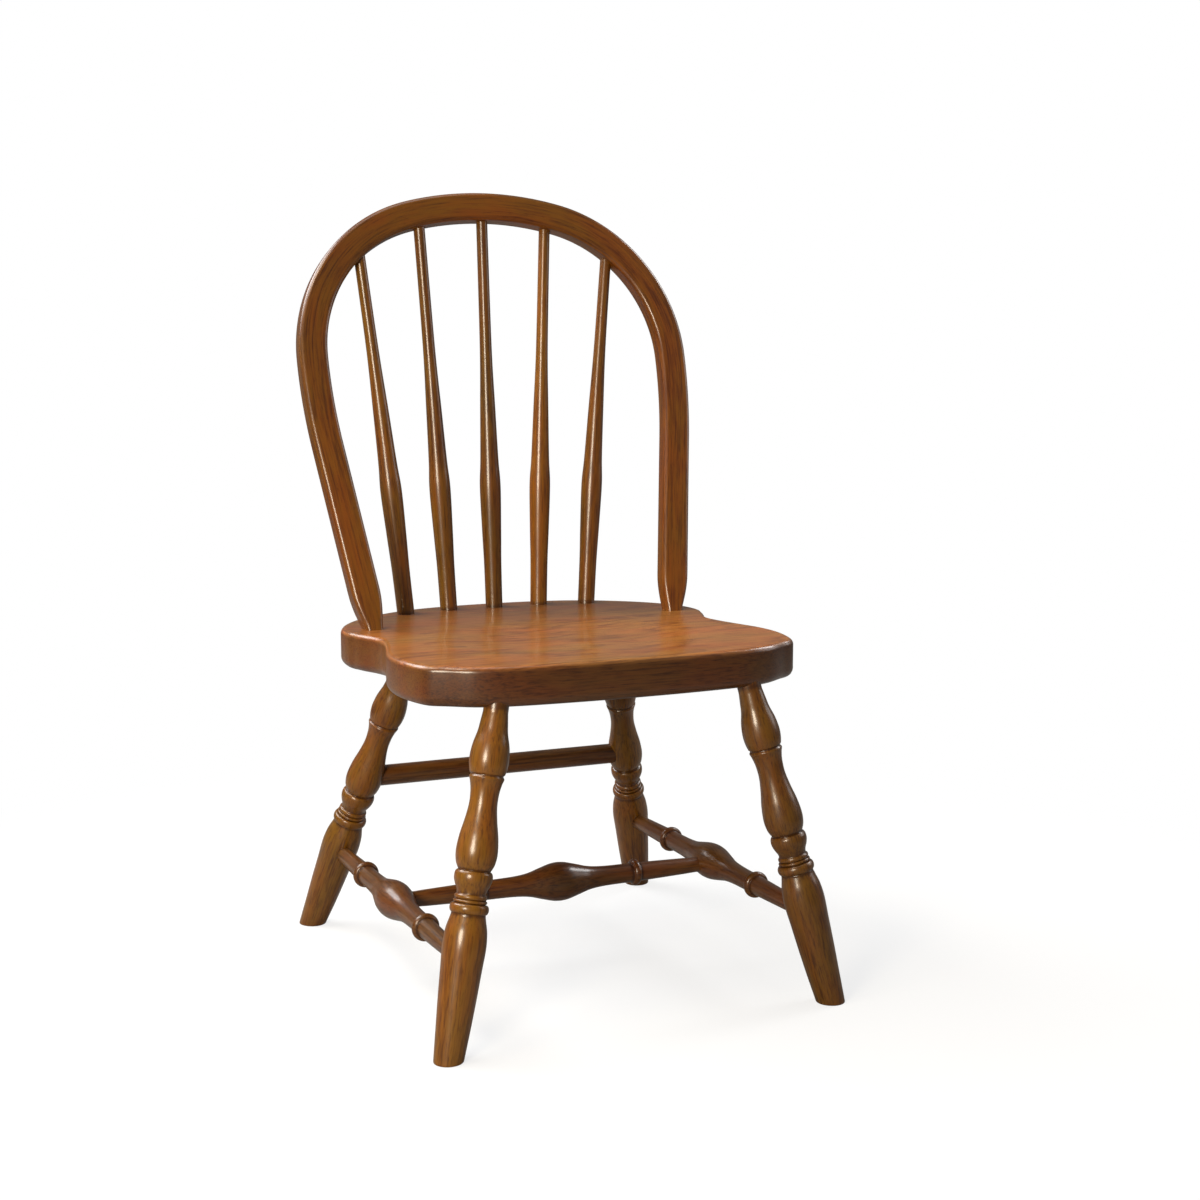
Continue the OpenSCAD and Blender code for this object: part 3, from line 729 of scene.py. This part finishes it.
class AddSeat(Operator):
    """Adds the plank seat. Rings of the plan run from the middle of the underside out, up
    round both quarter-round edges, and in over the saddle."""

    bl_idname = "chair.add_seat"
    bl_label = "Seat"

    def execute(self, context):
        seat = context.scene.chair_seat
        finish = context.scene.chair_finish
        plan = seat_outline(seat)
        low, high = SEAT_LOW.z, SEAT_HIGH.z
        rings, side = [], []

        def add(line, height, shade):
            rings.append(np.column_stack([line, np.broadcast_to(height, len(line))]))
            side.append(shade)

        for part in (0.02, 0.5, 0.98):
            add(inset(plan, seat.bottom_round) * part, low, 1.0)
        for a in np.linspace(0, math.pi / 2, 12):
            add(inset(plan, seat.bottom_round * (1 - math.sin(a))),
                low + seat.bottom_round * (1 - math.cos(a)), 1.0)
        for a in np.linspace(0, math.pi / 2, 10):
            add(inset(plan, seat.top_round * (1 - math.cos(a))),
                high - seat.top_round * (1 - math.sin(a)), 1 - math.sin(a) ** 2)
        top, ahead = inset(plan, seat.top_round), 0.020
        for part in np.linspace(0.985, 0.01, 44):
            p = top * part + [0, -ahead * (1 - part)]
            add(p, high - saddle(seat, p), 0.0)
        rings = np.array(rings)
        from_pith = [0.11, 0.06, 0.4]
        grain = rings[..., [1, 2, 0]] + from_pith
        shade = np.repeat(np.array(side)[:, None], len(plan), axis=1)
        # tone holds painted light on the edge's left flank, and painted shade and light on the
        # top
        tone = np.where(shade > 0.5, seat_edge_painted_light(plan), seat_top_painted_shading(rings))
        piece = skin("plank_seat", rings, grain, shade, tone)
        material = wood_material(context, "seat_wood", finish.seat, lines=0.3, mottle=0.7,
                                 rim=finish.rim, pitch=150.0, figure=7.0, swirl=6.0, coat=0.19,
                                 spread=(34.0, 34.0, 9.0))
        dressed(piece, material, "seat_wood", "seat")
        return {"FINISHED"}


# Wood


class Link:
    """An output of a material's nodes. Arithmetic on values adds Math nodes. A Link without a
    socket is the start of a tree."""

    def __init__(self, tree, socket=None):
        self.tree, self.socket = tree, socket

    def node(self, kind, inputs, output=0, stops=None, **settings):
        """Output of a new node: its settings first, then its sockets by name or number. The
        node that closes a tree has no output."""
        new = self.tree.nodes.new(kind)
        for key, value in settings.items():
            setattr(new, key, value)
        if stops:
            ramp = new.color_ramp
            while len(ramp.elements) < len(stops):
                ramp.elements.new(1.0)
            for element, (position, tint) in zip(ramp.elements, stops):
                element.position = position
                element.color = (*tint, 1.0)
        for key, value in inputs.items():
            if isinstance(value, Link):
                self.tree.links.new(value.socket, new.inputs[key])
            else:
                new.inputs[key].default_value = value
        return Link(self.tree, new.outputs[output]) if new.outputs else None

    def math(self, operation, a, b=0.0):
        """Value of a Math node on two values."""
        return self.node("ShaderNodeMath", {0: a, 1: b}, operation=operation)

    def __add__(self, other):
        return self.math("ADD", self, other)

    def __radd__(self, other):
        return self.math("ADD", other, self)

    def __sub__(self, other):
        return self.math("SUBTRACT", self, other)

    def __rsub__(self, other):
        return self.math("SUBTRACT", other, self)

    def __mul__(self, other):
        return self.math("MULTIPLY", self, other)

    def __rmul__(self, other):
        return self.math("MULTIPLY", other, self)

    def clamped(self, low, high):
        """Value moved from low..high to 0..1, smoothly."""
        return self.node("ShaderNodeMapRange", {"Value": self, "From Min": low, "From Max": high},
                         interpolation_type="SMOOTHSTEP")

    def stretched(self, scale):
        """Vector with each part multiplied."""
        return self.node("ShaderNodeVectorMath", {0: self, 1: scale}, operation="MULTIPLY")

    def noise(self, scale, detail=2.0, roughness=0.5):
        """Noise from 0 to 1 at this vector, with so many waves to a metre each way."""
        return self.node("ShaderNodeTexNoise", {"Vector": self.stretched(scale), "Scale": 1.0,
                                                "Detail": detail, "Roughness": roughness})

    def times(self, tint, factor):
        """Colour multiplied by another as far as the factor says."""
        return self.node("ShaderNodeMix", {0: factor, 6: self, 7: tint}, 2, data_type="RGBA",
                         blend_type="MULTIPLY")


def empty_tree(owner):
    """Start of the node tree of a new material or world, without the nodes it comes with."""
    owner.use_nodes = True
    owner.node_tree.nodes.clear()
    return Link(owner.node_tree)


def wood_material(context, name, stain, lines=0.2, mottle=0.9, rim=None, pitch=190.0,
                  figure=5.0, swirl=0.0, coat=0.16, spread=(55.0, 55.0, 12.0)):
    """Stained wood under satin lacquer. Growth rings are pitch to a metre from the pith, bent
    by slow noise as much as figure says and, with a swirl, by a second one; fibres, streaks
    and pores are noise drawn out along the grain. The glaze lies darker in the rings by lines,
    in slow clouds by mottle, and in the fibres, the pores, the grooves and the joints, where a
    piece meets the seat this is painted shade. A noise as wide as spread moves the stain
    between a golden and a reddish hue, and the tone attribute scales it, which on the seat and
    the front right leg is painted light and shade. rim is the stain where the shade attribute
    is 1. coat is the roughness of the lacquer's surface."""
    finish = context.scene.chair_finish
    material = bpy.data.materials.new(name)
    start = empty_tree(material)
    grain = start.node("ShaderNodeAttribute", {}, 1, attribute_name="grain")
    shade = start.node("ShaderNodeAttribute", {}, 2, attribute_name="shade")
    across = start.node("ShaderNodeVectorMath", {0: grain.stretched((1.0, 1.0, 0.0))}, 1,
                        operation="LENGTH")
    sway = grain.noise((9.0, 9.0, 2.2))
    reach = across * pitch + sway * figure
    if swirl:
        reach = reach + grain.noise((22.0, 22.0, 6.0)) * swirl
    ring = start.math("FRACT", reach)
    late = ring.clamped(0.55, 0.93) * (1 - ring.clamped(0.93, 1.0))
    fibre = grain.noise((850.0, 850.0, 34.0), roughness=0.6)
    streak = grain.noise((560.0, 560.0, 22.0), roughness=0.55)
    flecks = grain.noise((1500.0, 1500.0, 120.0), detail=1.0).clamped(0.60, 0.74)
    cloud = grain.noise((26.0, 26.0, 7.0), detail=3.0, roughness=0.55)
    patch = grain.noise((170.0, 170.0, 45.0))
    hue = (grain.noise(spread) + (patch - 0.5) * 0.4).clamped(0.26, 0.76)
    # shade darkens the grooves by glaze, and the joints at the seat as painted shade
    groove = shade.clamped(0.02, 0.55) * 0.9 if rim is None else 0.0
    depth = (late * lines * (1 - shade) + (fibre - 0.5) * 2.2 + (streak - 0.5) * 1.2
             + flecks * 0.42 + (patch - 0.5) * 0.55 + (cloud - 0.5) * mottle + groove)
    light = tuple(min(1.0, c * 1.28) for c in stain)
    deep = (stain[0] * 0.50, stain[1] * 0.42, stain[2] * 0.36)
    golden, reddish = (0.95, 1.09, 1.0, 1.0), (1.06, 0.89, 0.84, 1.0)
    darker = (depth * finish.dark).clamped(-0.35, 0.62)
    base = start.node("ShaderNodeValToRGB", {0: darker},
                      stops=[(0.0, light), (0.45, tuple(stain)), (1.0, deep)])
    cast = start.node("ShaderNodeMix", {0: hue, 6: golden, 7: reddish}, 2, data_type="RGBA")
    base = base.times(cast, 1.0)
    # tone scales the stain; on the seat and the front right leg it holds painted light and shade
    tone = start.node("ShaderNodeAttribute", {}, 2, attribute_name="tone")
    base = start.node("ShaderNodeVectorMath", {0: base, "Scale": tone}, operation="SCALE")
    if rim is not None:
        ratio = tuple(r / c for r, c in zip(rim, stain))
        base = base.times((*ratio, 1.0), shade)
    rough = (streak - 0.5) * 0.06 + (cloud - 0.5) * 0.06 + finish.gloss
    bump = start.node("ShaderNodeBump", {"Strength": 0.012, "Distance": 0.0003,
                                         "Height": streak - flecks * 0.5})
    shader = start.node("ShaderNodeBsdfPrincipled", {
        "Base Color": base, "Roughness": rough, "Normal": bump, "IOR": 1.45,
        "Coat Weight": 0.4, "Coat Roughness": coat, "Coat IOR": 1.45})
    start.node("ShaderNodeOutputMaterial", {"Surface": shader})
    return material


# Studio


# Each lamp's degrees from +Y towards +X and above the horizon, distance, width, height and tint
LAMPS = {
    "key": (-135.0, 11.0, 1.9, 0.58, 0.68, "warm"),
    "high": (-105.0, 58.0, 2.0, 0.55, 0.55, "warm"),
    "left": (-75.0, 50.0, 2.0, 1.2, 1.2, "plain"),
    "near": (-60.0, 35.0, 1.4, 0.6, 0.6, "plain"),
    "rear": (-38.0, 39.0, 2.0, 1.0, 1.0, "plain"),
    "top": (0.0, 84.0, 2.0, 1.2, 1.2, "plain"),
    "right": (80.0, 35.0, 2.0, 0.7, 0.7, "plain"),
    "low": (100.0, 18.0, 2.0, 1.2, 0.9, "plain"),
}
WHITE = (1.0, 1.0, 1.0)


def add_lamp(name, studio):
    """Oval lamp that faces the middle of the chair, with the power set under its name."""
    azimuth, elevation, reach, width, height, tint = LAMPS[name]
    middle_height = 0.4
    light = bpy.data.lights.new(name, "AREA")
    light.shape = "ELLIPSE"
    light.size, light.size_y = width, height
    light.energy = getattr(studio, name)
    light.color = studio.warm if tint == "warm" else WHITE
    item = bpy.data.objects.new(name, light)
    a, e = math.radians(azimuth), math.radians(elevation)
    way = Vector((math.sin(a) * math.cos(e), math.cos(a) * math.cos(e), math.sin(e)))
    item.location = Vector((0.0, 0.0, middle_height)) + reach * way
    item.rotation_euler = (-way).to_track_quat("-Z", "Y").to_euler()
    bpy.context.scene.collection.objects.link(item)


class AddStudio(Operator):
    """Adds the floor, the room's light, the lamps and the camera."""

    bl_idname = "chair.add_studio"
    bl_label = "Studio"

    def execute(self, context):
        scene = context.scene
        studio = scene.chair_studio
        add_floor(studio)
        add_world(scene, studio)
        for name in LAMPS:
            add_lamp(name, studio)
        camera = bpy.data.cameras.new("camera")
        camera.sensor_width = 36.0
        camera.lens = studio.lens
        camera.clip_start = 0.05
        camera.clip_end = 50.0
        eye = bpy.data.objects.new("camera", camera)
        a, e = studio.azimuth, studio.elevation
        way = Vector((-math.sin(a) * math.cos(e), math.cos(a) * math.cos(e), -math.sin(e)))
        eye.location = studio.eye
        eye.rotation_euler = way.to_track_quat("-Z", "Y").to_euler()
        scene.collection.objects.link(eye)
        scene.camera = eye
        scene.view_settings.view_transform = "Standard"
        return {"FINISHED"}


def add_floor(studio):
    """Round pale floor. The camera sees it almost white with a part of the shadows on it, and
    white further out, so that no horizon shows. The chair is lit by it in its own colour, and
    its lacquer mirrors it a little whiter."""
    corners, radius, near, far = 96, 4.0, 0.35, 0.85
    turn = np.arange(corners) / corners * 2 * math.pi
    rim = np.column_stack([radius * np.cos(turn), radius * np.sin(turn), np.zeros(corners)])
    mesh = bpy.data.meshes.new("floor")
    mesh.from_pydata(rim.tolist(), [], [list(range(corners))])
    floor = bpy.data.objects.new("floor", mesh)
    bpy.context.scene.collection.objects.link(floor)
    material = bpy.data.materials.new("paper")
    start = empty_tree(material)
    spot = start.node("ShaderNodeTexCoord", {}, 3)
    reach = start.node("ShaderNodeVectorMath", {0: spot}, 1, operation="LENGTH")
    camera = start.node("ShaderNodeLightPath", {}, "Is Camera Ray")
    gloss = start.node("ShaderNodeLightPath", {}, "Is Glossy Ray")
    paper = start.node("ShaderNodeBsdfDiffuse", {"Color": (*studio.paper, 1.0)})
    bright = start.node("ShaderNodeBsdfDiffuse", {"Color": (0.95, 0.95, 0.95, 1.0)})
    white = start.node("ShaderNodeEmission", {"Color": (*WHITE, 1.0), "Strength": 1.0})
    clear = reach.clamped(near, far) * (1.0 - studio.shadow) + studio.shadow
    seen = start.node("ShaderNodeMixShader", {0: clear, 1: bright, 2: white})
    lit = start.node("ShaderNodeMixShader", {0: gloss * studio.sheen, 1: paper, 2: bright})
    both = start.node("ShaderNodeMixShader", {0: camera, 1: lit, 2: seen})
    start.node("ShaderNodeOutputMaterial", {"Surface": both})
    mesh.materials.append(material)


def add_world(scene, studio):
    """Even light of the room. The camera sees it white, and so does the lacquer in part."""
    world = bpy.data.worlds.new("room")
    start = empty_tree(world)
    path = {name: start.node("ShaderNodeLightPath", {}, name)
            for name in ("Is Camera Ray", "Is Glossy Ray", "Is Transmission Ray")}
    gloss = path["Is Glossy Ray"] * studio.mirror
    seen = start.math("MAXIMUM", path["Is Camera Ray"], path["Is Transmission Ray"])
    seen = start.math("MAXIMUM", seen, gloss)
    strength = seen * (1.0 - studio.level) + studio.level
    light = start.node("ShaderNodeBackground", {"Color": (*WHITE, 1.0), "Strength": strength})
    start.node("ShaderNodeOutputWorld", {"Surface": light})
    scene.world = world


class ChairPanel(Panel):
    """Buttons for the chair's pieces, and its sizes and finish."""

    bl_idname = "VIEW3D_PT_chair"
    bl_label = "Windsor Chair"
    bl_space_type = "VIEW_3D"
    bl_region_type = "UI"
    bl_category = "Chair"

    def draw(self, context):
        for step in STEPS:
            self.layout.operator(step.bl_idname)
        for key in GROUPS:
            box = self.layout.box()
            group = getattr(context.scene, key)
            for name in group.__annotations__:
                box.prop(group, name)


STEPS = (AddSeat, AddBow, AddSpindles, AddLegs, AddStretchers, AddStudio)
GROUPS = {"chair_seat": SeatShape, "chair_bow": BowShape, "chair_turned": TurnedShape,
          "chair_finish": WoodFinish, "chair_studio": Studio}


def register():
    for item in (*GROUPS.values(), *STEPS, ChairPanel):
        bpy.utils.register_class(item)
    for key, group in GROUPS.items():
        setattr(bpy.types.Scene, key, PointerProperty(type=group))


def unregister():
    for key in GROUPS:
        delattr(bpy.types.Scene, key)
    for item in reversed((*GROUPS.values(), *STEPS, ChairPanel)):
        bpy.utils.unregister_class(item)


def main():
    """Builds the chair and the studio."""
    register()
    for step in STEPS:
        family, name = step.bl_idname.split(".")
        getattr(getattr(bpy.ops, family), name)()


if __name__ == "__main__":
    main()
